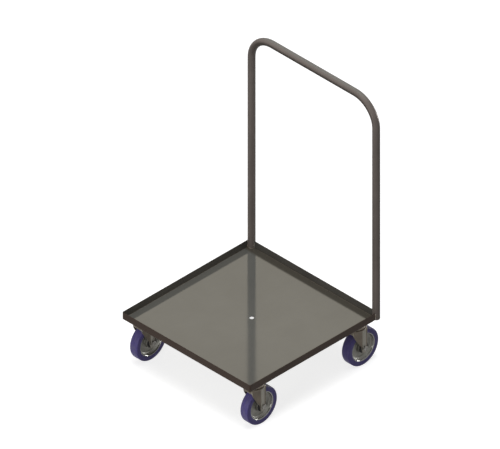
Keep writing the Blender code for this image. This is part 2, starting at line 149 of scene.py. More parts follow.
def roundCorners(points, steps=4):  # a closed outline of (a, b) or (a, b, radius)
    outline = []
    for i, point in enumerate(points):
        here = Vector(point[:2])
        radius = point[2] if len(point) > 2 else 0
        if radius == 0:
            outline.append((here.x, here.y))
            continue
        before = (Vector(points[i - 1][:2]) - here).normalized()
        after = (Vector(points[(i + 1) % len(points)][:2]) - here).normalized()
        half = before.angle(after) / 2
        middle = here + (before + after).normalized() * radius / math.sin(half)
        start = here + before * radius / math.tan(half) - middle
        end = here + after * radius / math.tan(half) - middle
        first = math.atan2(start.y, start.x)
        turn = math.atan2(start.x * end.y - start.y * end.x, start.dot(end))
        for k in range(steps + 1):
            angle = first + turn * k / steps
            a, b = middle.x + radius * math.cos(angle), middle.y + radius * math.sin(angle)
            outline.append((a, b))
    return outline


def circle(radius, height, sides):
    turns = onceRound(sides)
    return [(radius * math.cos(turn), radius * math.sin(turn), height) for turn in turns]


def skinRings(name, rings, looped=False, matrix=None, sharpAngle=30, unwrap=None):
    build = bmesh.new()
    loops = [[build.verts.new(point) for point in ring] for ring in rings]
    pairs = list(zip(loops, loops[1:]))
    if looped:
        pairs.append((loops[-1], loops[0]))
    uvLayer = build.loops.layers.uv.new("along") if unwrap else None
    for row, (lower, upper) in enumerate(pairs):
        count = len(lower)
        for i in range(count):
            j = (i + 1) % count
            face = build.faces.new((lower[i], lower[j], upper[j], upper[i]))
            if unwrap:
                spots = ((i, row), (i + 1, row), (i + 1, row + 1), (i, row + 1))
                for loop, (u, v) in zip(face.loops, spots):
                    loop[uvLayer].uv = (u / count, unwrap[v])
    if not looped:
        build.faces.new(loops[0])
        build.faces.new(loops[-1])
    if matrix:
        bmesh.ops.transform(build, matrix=matrix, verts=build.verts)
    return meshFrom(build, name, sharpAngle)


def turned(profile, sides):  # one ring for each (radius, height)
    return [circle(radius, height, sides) for radius, height in profile]


def latheMesh(name, profile, sides, looped=True, matrix=None):
    return skinRings(name, turned(profile, sides), looped, matrix)


def plugMesh(radius, low, high, sides=64, matrix=None):  # a plain cylinder to cut with
    return latheMesh("plug", [(radius, low), (radius, high)], sides, False, matrix)


def roundedBox(halfX, halfY, radius, height, inset=0.0, steps=6):  # one level of a sheet or bar
    reach = max(radius - inset, 0.0002)
    x, y = halfX - inset, halfY - inset
    points = [(x, y, reach), (-x, y, reach), (-x, -y, reach), (x, -y, reach)]
    return [(a, b, height) for a, b in roundCorners(points, steps)]


def flatBarMesh(name, halfX, halfY, radius, low, high, edge):
    soft = edge * 0.3  # the rounding starts with a flatter step
    levels = [(low, edge), (low + soft, soft), (low + edge, 0)]
    levels += [(high - edge, 0), (high - soft, soft), (high, edge)]
    rings = [roundedBox(halfX, halfY, radius, height, inset) for height, inset in levels]
    return skinRings(name, rings)


def addPiece(name, mesh, material, body, replaced=(), place=(0, 0, 0)):
    piece = linked(name, mesh)
    piece.location = place
    if not mesh.materials:
        mesh.materials.append(material)
    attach(piece, body)
    if replaced:
        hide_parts(*replaced)


# finish helpers

def startFinish(name):
    material = bpy.data.materials.new(name)
    material.use_nodes = True
    return material, material.node_tree


def fill(tree, node, inputs):
    for socket, value in inputs.items():
        if isinstance(value, bpy.types.NodeSocket):
            tree.links.new(value, node.inputs[socket])
        else:
            node.inputs[socket].default_value = value


def endFinish(material, inputs):
    tree = material.node_tree
    fill(tree, tree.nodes["Principled BSDF"], inputs)
    return material


def addNode(tree, kind, inputs=None, **settings):
    made = tree.nodes.new("ShaderNode" + kind)
    for key, value in settings.items():
        setattr(made, key, value)
    fill(tree, made, inputs or {})
    return made


def remap(tree, value, fromLow, fromHigh, toLow=0.0, toHigh=1.0):
    inputs = {"Value": value, "From Min": fromLow, "From Max": fromHigh}
    inputs.update({"To Min": toLow, "To Max": toHigh})
    return addNode(tree, "MapRange", inputs).outputs[0]


def mathOf(tree, operation, first, second=0.5):
    return addNode(tree, "Math", {0: first, 1: second}, operation=operation).outputs[0]


def product(tree, first, second):
    return mathOf(tree, "MULTIPLY", first, second)


def axesOf(tree):  # x, y and z within the piece
    space = addNode(tree, "TexCoord").outputs["Object"]
    return addNode(tree, "SeparateXYZ", {0: space}).outputs


def lengthOf(tree, vector):
    return addNode(tree, "VectorMath", {0: vector}, operation="LENGTH").outputs["Value"]


def objectSpace(tree, stretch=(1, 1, 1), turn=0.0, uv=False):
    source = addNode(tree, "TexCoord").outputs["UV" if uv else "Object"]
    inputs = {"Vector": source, "Rotation": (0, 0, turn), "Scale": stretch}
    mapped = addNode(tree, "Mapping", inputs).outputs[0]
    lot = addNode(tree, "ObjectInfo").outputs["Random"]
    shift = product(tree, lot, 3.7)  # so each piece shows its own stretch of the pattern
    return addNode(tree, "VectorMath", {0: mapped, 1: shift}, operation="ADD").outputs[0]


def noiseOf(tree, scale, detail=3.0, roughness=0.5, distortion=0.0, space=None):
    if space is None:
        space = objectSpace(tree)
    inputs = {"Vector": space, "Scale": scale, "Detail": detail}
    inputs.update({"Roughness": roughness, "Distortion": distortion})
    return addNode(tree, "TexNoise", inputs).outputs[0]


def spread(tree, noise, low, high):  # a noise seldom leaves 0.3 to 0.7
    return remap(tree, noise, 0.3, 0.7, low, high)


def mixColour(tree, factor, first, second, blend="MIX"):
    inputs = {0: factor, 6: first, 7: second}
    return addNode(tree, "Mix", inputs, data_type="RGBA", blend_type=blend).outputs[2]


def cloudTone(tree, look, scale, roughness=0.6, distortion=0.0):  # drifts between dark and light
    clouds = noiseOf(tree, scale, 4.0, roughness, distortion)
    return mixColour(tree, remap(tree, clouds, 0.35, 0.65), look["dark"], look["light"])


def bumpOf(tree, height, distance):
    return addNode(tree, "Bump", {"Height": height, "Distance": distance}).outputs[0]


def hairlines(tree, look, turn, scale):  # wandering scratches, 1 on a line and 0 beside it
    space = objectSpace(tree, look["scratchStretch"], turn)
    field = noiseOf(tree, scale, 1.0, 0.4, 0.6, space)
    ridge = mathOf(tree, "ABSOLUTE", mathOf(tree, "SUBTRACT", field, 0.5))
    patchy = remap(tree, noiseOf(tree, look["scratchPatches"], 2.0), 0.5, 0.62)
    return product(tree, remap(tree, ridge, 0.0, look["scratch"], 1.0, 0.0), patchy)


def colour(red, green, blue):
    return (red, green, blue, 1)


def tiltOf(tree):  # 1 on what faces up, -1 on what faces down
    facing = addNode(tree, "NewGeometry").outputs["Normal"]
    return addNode(tree, "SeparateXYZ", {0: facing}).outputs[2]


def ribShare(tree, look):  # 1 along the rib of a fork's leg, with soft sides
    axes = axesOf(tree)
    away = mathOf(tree, "ABSOLUTE", mathOf(tree, "SUBTRACT", axes[1], look["ribY"]))
    outside = remap(tree, mathOf(tree, "ABSOLUTE", axes[0]), *look["ribFrom"])
    return product(tree, remap(tree, away, *look["ribSide"], 1.0, 0.0), outside)


def paintedWallShade(tree, look):  # painted shade at the foot of the pan's walls, most of it at the rear
    axes = axesOf(tree)
    rear = remap(tree, axes[1], *look["shadeRear"])
    aside = mathOf(tree, "ABSOLUTE", axes[0])
    sides = remap(tree, aside, *look["shadeSide"], 0.0, look["sideShare"])
    return mathOf(tree, "MAXIMUM", rear, sides)


rub = {  # how steel shines where its edges rub
    "edges": (0.505, 0.56),
    "share": 0.8,
    "patchScale": 160.0,
    "least": 0.3,
}


def metalFinish(name, look):
    material, tree = startFinish(name)
    space = objectSpace(tree, look["grain"], uv=look.get("uv", False))
    grain = noiseOf(tree, 1.0, 4.0, 0.6, space=space)
    tone = cloudTone(tree, look, look["cloudScale"], 0.55, 0.3)
    shade = spread(tree, grain, 1 - look["grainTone"], 1 + look["grainTone"])
    tone = mixColour(tree, 1.0, tone, shade, "MULTIPLY")
    roughness = spread(tree, grain, *look["roughness"])
    if "scratch" in look:
        sets = [hairlines(tree, look, turn, scale) for turn, scale in look["scratchSets"]]
        scratches = mathOf(tree, "MAXIMUM", *sets)
        rougher = product(tree, scratches, look["scratchRough"])
        roughness = mathOf(tree, "ADD", roughness, rougher)
        paler = product(tree, scratches, look["scratchTone"])
        tone = mixColour(tree, paler, tone, look["light"])
    # painted highlight along the crest of the fork's rib
    if "rib" in look:
        tone = mixColour(tree, ribShare(tree, look), tone, look["rib"])
    # painted shade along the foot of the pan's walls
    if "darkening" in look:
        tone = mixColour(tree, paintedWallShade(tree, look), tone, look["darkening"])
    if "upper" in look:  # painted highlight on the bar's upper side
        tone = mixColour(tree, remap(tree, tiltOf(tree), *look["upperHighlightTilt"]), tone, look["upper"])
    if "under" in look:  # painted shade on what faces down
        downShade = remap(tree, tiltOf(tree), *look["underTilt"])
        climb = remap(tree, axesOf(tree)[2], *look["underFrom"])
        tone = mixColour(tree, product(tree, downShade, climb), tone, look["under"])
    if "worn" in look:
        edges = addNode(tree, "NewGeometry").outputs["Pointiness"]
        rubbed = remap(tree, edges, *rub["edges"], 0.0, rub["share"])
        patches = remap(tree, noiseOf(tree, rub["patchScale"]), 0.4, 0.6, rub["least"], 1.0)
        tone = mixColour(tree, product(tree, rubbed, patches), tone, look["worn"])
    if "heightShade" in look:  # painted shade under the caster's plate and in the pan's bends
        heightShade = remap(tree, axesOf(tree)[2], *look["heightShadeFrom"])
        tone = mixColour(tree, heightShade, tone, look["heightShade"])
    return endFinish(material, {
        "Metallic": look["metallic"],
        "Specular IOR Level": look.get("specular", 0.5),
        "Specular Tint": look.get("edgeTint", colour(1, 1, 1)),
        "Base Color": tone,
        "Roughness": roughness,
        "Normal": bumpOf(tree, grain, look["grainDepth"]),
    })


# steel finishes

panLow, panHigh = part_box("tray_pan")
panFloorLook = {
    "metallic": 0.2,
    "specular": 0.9,
    "edgeTint": colour(1, 0.79, 0.48),
    "light": colour(0.125, 0.127, 0.118),
    "dark": colour(0.115, 0.117, 0.109),
    # painted shade at the foot of the walls, strongest at the rear
    "darkening": colour(0.066, 0.061, 0.051),
    "shadeRear": (panHigh.y - 0.031, panHigh.y - 0.02),
    "shadeSide": (panHigh.x - 0.031, panHigh.x - 0.02),
    "sideShare": 0.28,
    "grain": (900, 14, 60),
    "grainTone": 0.025,
    "grainDepth": 0.00000075,
    "cloudScale": 7.0,
    "roughness": (0.06, 0.1),
    "scratch": 0.004,
    "scratchSets": ((0.5, 14.0), (2.0, 18.2)),  # direction and scale of each
    "scratchStretch": (1, 0.12, 1),
    "scratchPatches": 9.0,
    "scratchTone": 0.35,
    "scratchRough": 0.06,
}
# a darker copy of the pan's steel for its outer walls: painted shade
panShadedWallLook = {
    "metallic": 0.16,
    "specular": 0.1,
    "edgeTint": colour(0.6, 0.5, 0.42),
    "light": colour(0.05, 0.034, 0.027),
    "dark": colour(0.04, 0.027, 0.021),
    # painted shade on the downward faces of the walls' bottom bends
    "under": colour(0.022, 0.014, 0.01),
    "underTilt": (0.0, -0.6),
    "underFrom": (0.0, 0.01),
    "grain": (8, 8, 900),
    "grainTone": 0.08,
    "grainDepth": 0.000012,
    "cloudScale": 9.0,
    "roughness": (0.16, 0.26),
}
panInnerLook = dict(
    panShadedWallLook,
    metallic=0.5,
    light=colour(0.128, 0.124, 0.114),
    dark=colour(0.1, 0.097, 0.09),
    # painted shade in the bottom bends of the inner walls
    heightShade=colour(0.08, 0.072, 0.061),
    heightShadeFrom=(panLow.z + 0.0055, panLow.z + 0.0035),
)
handleLook = {
    "metallic": 0.12,
    "specular": 0.05,
    "edgeTint": colour(0.25, 0.22, 0.2),
    "light": colour(0.142, 0.121, 0.11),
    "dark": colour(0.12, 0.103, 0.093),
    # painted highlight on the bar's upper side
    "upper": colour(0.148, 0.141, 0.129),
    "upperHighlightTilt": (0.75, 1.0),
    # painted shade on the bar's underside
    "under": colour(0.045, 0.037, 0.031),
    "underTilt": (0.5, -0.1),
    "underFrom": (0.85, 0.92),  # from the top of the legs to the bar
    "grain": (60, 3, 1),
    "uv": True,
    "grainTone": 0.06,
    "grainDepth": 0.00001,
    "cloudScale": 11.0,
    "roughness": (0.26, 0.36),
}
barLook = {
    "metallic": 0.8,
    "light": colour(0.24, 0.225, 0.2),
    "dark": colour(0.17, 0.16, 0.14),
    "grain": (12, 500, 500),
    "grainTone": 0.1,
    "grainDepth": 0.000024,
    "cloudScale": 16.0,
    "roughness": (0.28, 0.42),
}
plateLook = {
    "metallic": 0.3,
    "specular": 0.1,
    "light": colour(0.062, 0.052, 0.042),
    "dark": colour(0.045, 0.038, 0.031),
    "grain": (160, 160, 160),
    "grainTone": 0.08,
    "grainDepth": 0.000028,
    "cloudScale": 45.0,
    "roughness": (0.28, 0.42),
    "worn": colour(0.08, 0.07, 0.06),
}
# tones set lighter than the fork's steel: painted light for the shade under the plate
raceLook = {
    "metallic": 0.2,
    "specular": 0.2,
    "light": colour(0.3, 0.25, 0.2),
    "dark": colour(0.25, 0.21, 0.165),
    "grain": (40, 40, 1400),
    "grainTone": 0.08,
    "grainDepth": 0.000006,
    "cloudScale": 60.0,
    "roughness": (0.42, 0.54),
}
forkLook = {
    "metallic": 0.4,
    "specular": 0.3,
    "edgeTint": colour(0.5, 0.45, 0.4),
    "light": colour(0.118, 0.098, 0.074),
    "dark": colour(0.09, 0.074, 0.057),
    # painted highlight along the rib's crest
    "rib": colour(0.215, 0.205, 0.178),
    "ribY": 0.0162,
    "ribSide": (0.0052, 0.0102),
    "ribFrom": (0.017, 0.018),
    # painted shade on the crown's top, under the plate
    "heightShade": colour(0.1, 0.083, 0.063),
    "heightShadeFrom": (-0.0055, -0.003),
    "grain": (220, 220, 160),
    "grainTone": 0.08,
    "grainDepth": 0.000035,
    "cloudScale": 38.0,
    "roughness": (0.3, 0.44),
    "worn": colour(0.34, 0.32, 0.28),
}
boltLook = {
    "metallic": 0.6,
    "light": colour(0.17, 0.163, 0.147),
    "dark": colour(0.13, 0.124, 0.112),
    "grain": (300, 300, 300),
    "grainTone": 0.1,
    "grainDepth": 0.000014,
    "cloudScale": 90.0,
    "roughness": (0.34, 0.46),
    "worn": colour(0.25, 0.24, 0.22),
}


def weldFinish(name, look):  # silver bead with straw and blue heat tint
    material, tree = startFinish(name)
    tints = addNode(tree, "ValToRGB", {"Fac": noiseOf(tree, look["tintScale"])})
    ramp = tints.color_ramp.elements
    blueAt, strawAt, silverAt = look["tintsAt"]
    ramp[0].color, ramp[0].position = look["blue"], blueAt
    ramp[1].color, ramp[1].position = look["silver"], silverAt
    ramp.new(strawAt).color = look["straw"]
    grit = noiseOf(tree, look["gritScale"])
    return endFinish(material, {
        "Metallic": look["metallic"],
        "Base Color": tints.outputs[0],
        "Roughness": spread(tree, grit, *look["roughness"]),
        "Normal": bumpOf(tree, grit, look["gritDepth"]),
    })


weldLook = {
    "metallic": 0.85,
    "tintScale": 120.0,
    "blue": colour(0.08, 0.085, 0.11),
    "straw": colour(0.17, 0.135, 0.09),
    "silver": colour(0.2, 0.19, 0.175),
    "tintsAt": (0.34, 0.46, 0.58),  # where blue, straw and silver stand in the noise
    "gritScale": 900.0,
    "gritDepth": 0.00008,
    "roughness": (0.3, 0.5),
}


def wheelRadius(tree):  # how far a point is from the axle, which runs along X
    axes = axesOf(tree)
    return lengthOf(tree, addNode(tree, "CombineXYZ", {1: axes[1], 2: axes[2]}).outputs[0])


def castFinish(name, look):
    material, tree = startFinish(name)
    radius = wheelRadius(tree)
    darkening = remap(tree, radius, *look["darkeningFrom"], look["darkeningShare"], 0.0)
    wall = remap(tree, radius, *look["litWallFrom"])
    machined = remap(tree, radius, *look["machinedFrom"])
    tone = cloudTone(tree, look, look["cloudScale"])
    tone = mixColour(tree, darkening, tone, look["darkening"])  # darker round the foot of the hub
    # painted light: the dish's inner wall is lighter
    tone = mixColour(tree, wall, tone, look["wall"])
    tone = mixColour(tree, machined, tone, look["machined"])
    pits = noiseOf(tree, look["pitScale"], 4.0, 0.65)
    cuts = mathOf(tree, "SINE", product(tree, radius, 2 * math.pi / look["toolPitch"]))
    cuts = product(tree, cuts, look["toolDepth"])
    height = addNode(tree, "Mix", {0: machined, 2: pits, 3: cuts}).outputs[0]
    polish = product(tree, machined, look["polish"])
    rough = spread(tree, pits, *look["roughness"])
    return endFinish(material, {
        "Metallic": remap(tree, machined, 0.0, 1.0, look["metallic"], look["machinedMetallic"]),
        "Specular IOR Level": look["specular"],
        "Base Color": tone,
        "Roughness": mathOf(tree, "SUBTRACT", rough, polish),
        "Normal": bumpOf(tree, height, look["pitDepth"]),
    })


castLook = {
    "metallic": 0.3,
    "specular": 0.4,
    "light": colour(0.234, 0.227, 0.2),
    "dark": colour(0.158, 0.152, 0.133),
    "cloudScale": 55.0,
    # darker round the foot of the hub
    "darkening": colour(0.1, 0.094, 0.08),
    "darkeningFrom": (0.0185, 0.0225),
    "darkeningShare": 0.55,
    # painted light on the dish's inner wall
    "wall": colour(0.36, 0.355, 0.32),
    "litWallFrom": (0.0385, 0.0405),
    "machined": colour(0.17, 0.168, 0.158),
    "machinedMetallic": 0.8,
    "machinedFrom": (0.0428, 0.0434),
    "roughness": (0.4, 0.5),
    "polish": 0.33,  # how much smoother the machined lip is
    "pitScale": 700.0,
    "pitDepth": 0.0001,
    "toolPitch": 0.0004,
    "toolDepth": 0.12,  # a share of the pits' depth
}


def rubberFinish(name, look):
    material, tree = startFinish(name)
    onTread = remap(tree, wheelRadius(tree), *look["treadFrom"], 0.0, look["wear"])
    scuffs = noiseOf(tree, 1.0, 4.0, 0.7, space=objectSpace(tree, look["scuffStretch"]))
    rubbed = product(tree, remap(tree, scuffs, *look["scuffFrom"]), onTread)
    tone = cloudTone(tree, look, look["cloudScale"])
    speckle = noiseOf(tree, look["speckleScale"], 2.0)
    rough = spread(tree, speckle, *look["roughness"])
    fine = product(tree, speckle, look["speckleHeight"])
    height = mathOf(tree, "ADD", fine, product(tree, rubbed, look["scuffHeight"]))
    return endFinish(material, {
        "Specular IOR Level": look["specular"],
        "Base Color": mixColour(tree, rubbed, tone, look["scuff"]),
        "Roughness": mathOf(tree, "ADD", rough, product(tree, rubbed, look["scuffRough"])),
        "Normal": bumpOf(tree, height, look["bumpDistance"]),
    })


tyreLook = {
    "specular": 0.12,
    "light": colour(0.085, 0.07, 0.212),
    "dark": colour(0.07, 0.057, 0.18),
    "cloudScale": 30.0,
    "scuff": colour(0.16, 0.145, 0.2),
    "scuffStretch": (260, 40, 40),
    "scuffFrom": (0.45, 0.7),
    "scuffRough": 0.15,
    "scuffHeight": 0.5,  # shares of the bump's distance
    "speckleHeight": 0.3,
    "treadFrom": (0.0622, 0.0627),
    "wear": 0.55,
    "speckleScale": 1300.0,
    "bumpDistance": 0.00006,
    "roughness": (0.42, 0.52),
}
# near-black rubber seals on the hub's ends; partly painted shade, as they also stand in for the
# shade between the fork's legs and the hubs
sealLook = {
    **tyreLook,
    "specular": 0.15,
    "light": colour(0.018, 0.016, 0.016),
    "dark": colour(0.012, 0.011, 0.011),
    "wear": 0.0,
    "roughness": (0.4, 0.55),
}

panFloorSteel = metalFinish("panFloorSteel", panFloorLook)
panWallSteel = metalFinish("panWallSteel", panShadedWallLook)
panInnerSteel = metalFinish("panInnerSteel", panInnerLook)
handleSteel = metalFinish("handleSteel", handleLook)
stiffenerSteel = metalFinish("stiffenerSteel", barLook)
plateSteel = metalFinish("plateSteel", plateLook)
raceSteel = metalFinish("raceSteel", raceLook)
forkSteel = metalFinish("forkSteel", forkLook)
boltSteel = metalFinish("boltSteel", boltLook)
weldMetal = weldFinish("weldMetal", weldLook)
castAluminium = castFinish("castAluminium", castLook)
violetTyre = rubberFinish("violetTyre", tyreLook)
sealRubber = rubberFinish("sealRubber", sealLook)
print("finishes made")


# pan

pan = {
    "sheet": 0.0015,
    "bendRadius": 0.003,  # outside radius of the four bottom bends
    "cornerRadius": 0.0034,
    "rimEdge": 0.0003,
    "drainDiameter": 0.014,
    "drainSetback": 0.0075,
    "notchGap": 0.0003,
    "bendSteps": 6,
    "cutReach": 0.01,  # how far the drain and notches are cut past the sheet
    "flatFrom": 0.0004,  # faces larger than this are shaded flat
}
tubeLow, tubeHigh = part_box("push_handle")
tubeRadius = 0.012
legX = tubeHigh.x - tubeRadius
legY = panHigh.y
panCentre = (panLow + panHigh) / 2


def panMesh():
    half, bottom, top = boxHalf("tray_pan"), panLow.z, panHigh.z
    sheet, bend, edge, steps = pan["sheet"], pan["bendRadius"], pan["rimEdge"], pan["bendSteps"]
    section = [(a, bottom + b) for a, b in quarterArc(bend, steps)]  # how far in, and height
    section += [(b, top - a) for a, b in quarterArc(edge, 2)]
    section += [(sheet - a, top - b) for a, b in quarterArc(edge, 2)]
    section += [(sheet + b, bottom + sheet + a) for a, b in quarterArc(bend - sheet, steps)]
    rings = [roundedBox(half.x, half.y, pan["cornerRadius"], z, inset) for inset, z in section]
    sheetMesh = shifted(skinRings("panSheet", rings), panCentre.x, panCentre.y)
    low, high = bottom - pan["cutReach"], top + pan["cutReach"]
    drain = plugMesh(pan["drainDiameter"] / 2, low, high)
    cutters = [shifted(drain, panCentre.x, panCentre.y + pan["drainSetback"])]
    for side in (-1, 1):
        notch = plugMesh(tubeRadius + pan["notchGap"], low, high, 96)
        cutters.append(shifted(notch, side * legX, legY))
    mesh = combineMeshes(sheetMesh, cutters, "DIFFERENCE", "panSheet")
    mesh.materials.clear()
    for steel in (panWallSteel, panFloorSteel, panInnerSteel):
        mesh.materials.append(steel)
    middle = Vector((panCentre.x, panCentre.y, 0))
    for face in mesh.polygons:  # the level floor keeps the lighter steel; the outer walls take a darker copy of it, painted shade
        level = abs(face.normal.z) > 0.9 and face.center.z < bottom + sheet * 1.5
        inward = face.normal.dot(middle - face.center) > 0.01
        face.material_index = 1 if level else (2 if inward else 0)
        if face.area > pan["flatFrom"]:
            face.use_smooth = False
    return mesh


addPiece("panSheet", panMesh(), panWallSteel, "root", ["tray_pan"])
print("pan made")


# push handle

handle = {
    "bendRadius": 0.088,
    "wall": 0.0015,
    "sides": 64,
    "bendSteps": 28,
    "legSteps": 24,
    "barSteps": 16,
    "footEdge": 0.0004,
    "bendSquash": 0.025,  # a bent tube is a little flatter across its bend
}


def handlePath():  # (x, z, heading, how far round the bend 0 to 1 to 0)
    bend = handle["bendRadius"]
    barZ, foot = tubeHigh.z - tubeRadius, tubeLow.z
    turnX, turnZ = legX - bend, barZ - bend
    legSteps, bendSteps, barSteps = handle["legSteps"], handle["bendSteps"], handle["barSteps"]
    upright = math.pi / 2

    def bendPoints(centreX, start):
        points = []
        for share in evenly(0, 1, bendSteps):
            angle = start - upright * share
            x, z = centreX + bend * math.cos(angle), turnZ + bend * math.sin(angle)
            points.append((x, z, angle - upright, math.sin(math.pi * share)))
        return points

    levels = evenly(foot, turnZ, legSteps)[:-1]
    path = [(-legX, z, upright, 0) for z in levels]
    path += bendPoints(-turnX, math.pi)
    path += [(x, barZ, 0, 0) for x in evenly(-turnX, turnX, barSteps)[1:-1]]
    path += bendPoints(turnX, upright)
    path += [(legX, z, -upright, 0) for z in reversed(levels)]
    return path


def handleRing(x, z, heading, squash, radius):
    ring = []
    flat = 1 - handle["bendSquash"] * squash
    for angle in onceRound(handle["sides"]):
        out = radius * math.cos(angle) * flat
        back = radius * math.sin(angle)
        ring.append((x - out * math.sin(heading), legY + back, z + out * math.cos(heading)))
    return ring


def handleMesh():
    path = handlePath()
    edge = handle["footEdge"]
    feet = [(x, z + edge, heading, squash) for x, z, heading, squash in (path[0], path[-1])]
    rings = [handleRing(*path[0], tubeRadius - edge)]
    rings += [handleRing(*point, tubeRadius) for point in (feet[0], *path[1:-1], feet[1])]
    rings.append(handleRing(*path[-1], tubeRadius - edge))
    rings += [handleRing(*point, tubeRadius - handle["wall"]) for point in reversed(path)]
    lengths = runLengths([ring[0] for ring in rings])
    lengths.append(lengths[-1])
    return skinRings("handleTube", rings, looped=True, unwrap=lengths)


addPiece("handleTube", handleMesh(), handleSteel, "root", ["push_handle"])
print("handle made")


# welds

weld = {
    "width": 0.0030,
    "height": 0.0011,
    "ripple": 0.0013,  # length of one ripple
    "rippleDepth": 0.22,
    "rippleSteps": 5,  # rings for each ripple
    "endShare": 0.25,  # how thick a bead still is at its ends
    "sides": 10,
    "standOff": 0.0002,  # between the steel and the middle of a bead
    "belowRim": 0.0012,
    "footSteps": 16,
    "insideFoot": 0.001,  # the upright beads stop this far above the pan's floor
    "outsideFoot": 0.002,  # and those outside this far above its underside
    "slimWidth": 0.8,  # shares of width and height for the beads outside the pan
    "slimHeight": 0.55,
}


def beadMesh(name, path, width, height):  # a rippled bead along (point, the way it faces)
    lengths = runLengths([point for point, face in path])
    rings = []
    total = lengths[-1]
    steps = max(int(total / weld["ripple"] * weld["rippleSteps"]), 8)
    row = 0
    for along in evenly(0, total, steps):
        while row < len(path) - 2 and lengths[row + 1] < along:
            row += 1
        share = (along - lengths[row]) / max(lengths[row + 1] - lengths[row], 1e-9)
        (point, face), (nextPoint, nextFace) = path[row], path[row + 1]
        ahead = (nextPoint - point).normalized()
        point = point.lerp(nextPoint, share)
        face = face.lerp(nextFace, share).normalized()
        face = (face - ahead * face.dot(ahead)).normalized()
        side = ahead.cross(face)
        phase = (along / weld["ripple"]) % 1
        swell = 1 - weld["rippleDepth"] * (1 - phase) ** 2
        taper = min(1, weld["endShare"] + min(along, total - along) / weld["width"])
        ring = []
        for angle in onceRound(weld["sides"]):
            offset = side * math.cos(angle) * width / 2 + face * math.sin(angle) * height
            ring.append(point + offset * swell * taper)
        rings.append(ring)
    return skinRings(name, rings, sharpAngle=75)


def footWeldMesh(side):
    sheet, width, height, steps = pan["sheet"], weld["width"], weld["height"], weld["footSteps"]
    reach = tubeRadius + weld["standOff"]
    floorZ, top = panLow.z + sheet, panHigh.z - weld["belowRim"]
    levels = (top, (top + floorZ) / 2, floorZ + weld["insideFoot"])
    first = math.pi + math.asin(sheet / reach)
    last = 2 * math.pi - math.acos((panHigh.x - sheet - legX) / reach)

    def onTube(angle, z, lean, outShare=1):
        out = Vector((side * math.cos(angle), math.sin(angle), 0))
        return Vector((side * legX, legY, z)) + out * reach, out * outShare + Vector(lean)

    inside = [onTube(first, z, (0, -1, 0)) for z in levels]
    inside += [onTube(turn, floorZ, (0, 0, 1)) for turn in evenly(first, last, steps)[1:-1]]
    inside += [onTube(last, z, (-side, 0, 0)) for z in reversed(levels)]
    beads = [beadMesh("footWeldInside", inside, width, height)]
    outerEdge = -math.acos((panHigh.x - legX) / reach)
    slimWidth, slimHeight = width * weld["slimWidth"], height * weld["slimHeight"]
    for angle, lean in ((math.pi, (-side, 1, 0)), (outerEdge, (side, -1, 0))):
        line = [onTube(angle, z, lean, 0) for z in (panLow.z + weld["outsideFoot"], top)]
        beads.append(beadMesh("footWeldOutside", line, slimWidth, slimHeight))
    build = bmesh.new()
    for bead in beads:
        build.from_mesh(bead)
    return meshFrom(build, "footWeld", 75)


for side, word in ((1, "left"), (-1, "right")):
    addPiece(word + "FootWeld", footWeldMesh(side), weldMetal, "root")
print("welds made")


# fasteners

fastener = {
    "sides": 48,
    "rim": 0.955,  # width of the flat round top, as a share of the flats
    "chamfer": 30,  # degrees
    "tip": 0.0011,  # how much narrower a bolt is at its end
    "pitch": 0.00125,
    "threadDepth": 0.0006,
    "threadShares": (0.1, 0.45, 0.6),  # the root and the crest's two edges within one turn
    "nutEdge": 0.012,  # a share of the flats
    "pinNutBore": 0.0062,
    "plateNutFlats": 0.013,
    "plateNutBore": 0.0042,
}


def hexRing(flats, height, direction):  # the wavy line where a chamfer meets the six flats
    ring = []
    rim = flats / 2 * fastener["rim"]
    for angle in onceRound(fastener["sides"]):
        fromFlat = (angle + math.pi / 6) % (math.pi / 3) - math.pi / 6
        reach = flats / 2 / math.cos(fromFlat)
        drop = (reach - rim) * math.tan(math.radians(fastener["chamfer"]))
        ring.append((reach * math.cos(angle), reach * math.sin(angle), height - direction * drop))
    return ring


def nutMesh(name, flats, height, bore, matrix=None):  # hangs below z = 0
    sides = fastener["sides"]
    rim = flats / 2 * fastener["rim"]
    lead = fastener["threadDepth"]
    rings = turned([(bore, -lead), (bore + lead, 0), (rim, 0)], sides)
    rings += [hexRing(flats, 0, 1), hexRing(flats, -height, -1)]
    rings += turned([(rim, -height), (bore + lead, -height), (bore, lead - height)], sides)
    mesh = skinRings(name, rings, True, matrix, 25)
    return softenEdges(mesh, flats * fastener["nutEdge"], 28, 25)


def threadProfile(radius, start, end):
    depth = fastener["threadDepth"]
    root, crest, crestEnd = fastener["threadShares"]
    count = max(int(abs(end - start) / fastener["pitch"]), 1)
    step = (end - start) / count
    profile = []
    for z in evenly(start, end, count)[:-1]:
        profile += [(radius - depth, z + step * root), (radius, z + step * crest)]
        profile.append((radius, z + step * crestEnd))
    return profile


print("fasteners ready")


# stiffener bars with their studs

bar = {
    "cornerRadius": 0.006,
    "edge": 0.0004,
    "plateGap": 0.0003,
    "studDiameter": 0.008,
    "studTip": 0.0008,  # how much narrower the stud's tip is
    "studFoot": 0.0006,  # how much wider its welded foot is
    "stitches": 7,
    "stitchLength": 0.022,
    "stitchInset": 0.03,
}


def studSpots(corner):
    return [boxMiddle(f"{corner}_plate_nut_{number}") for number in range(1, 5)]


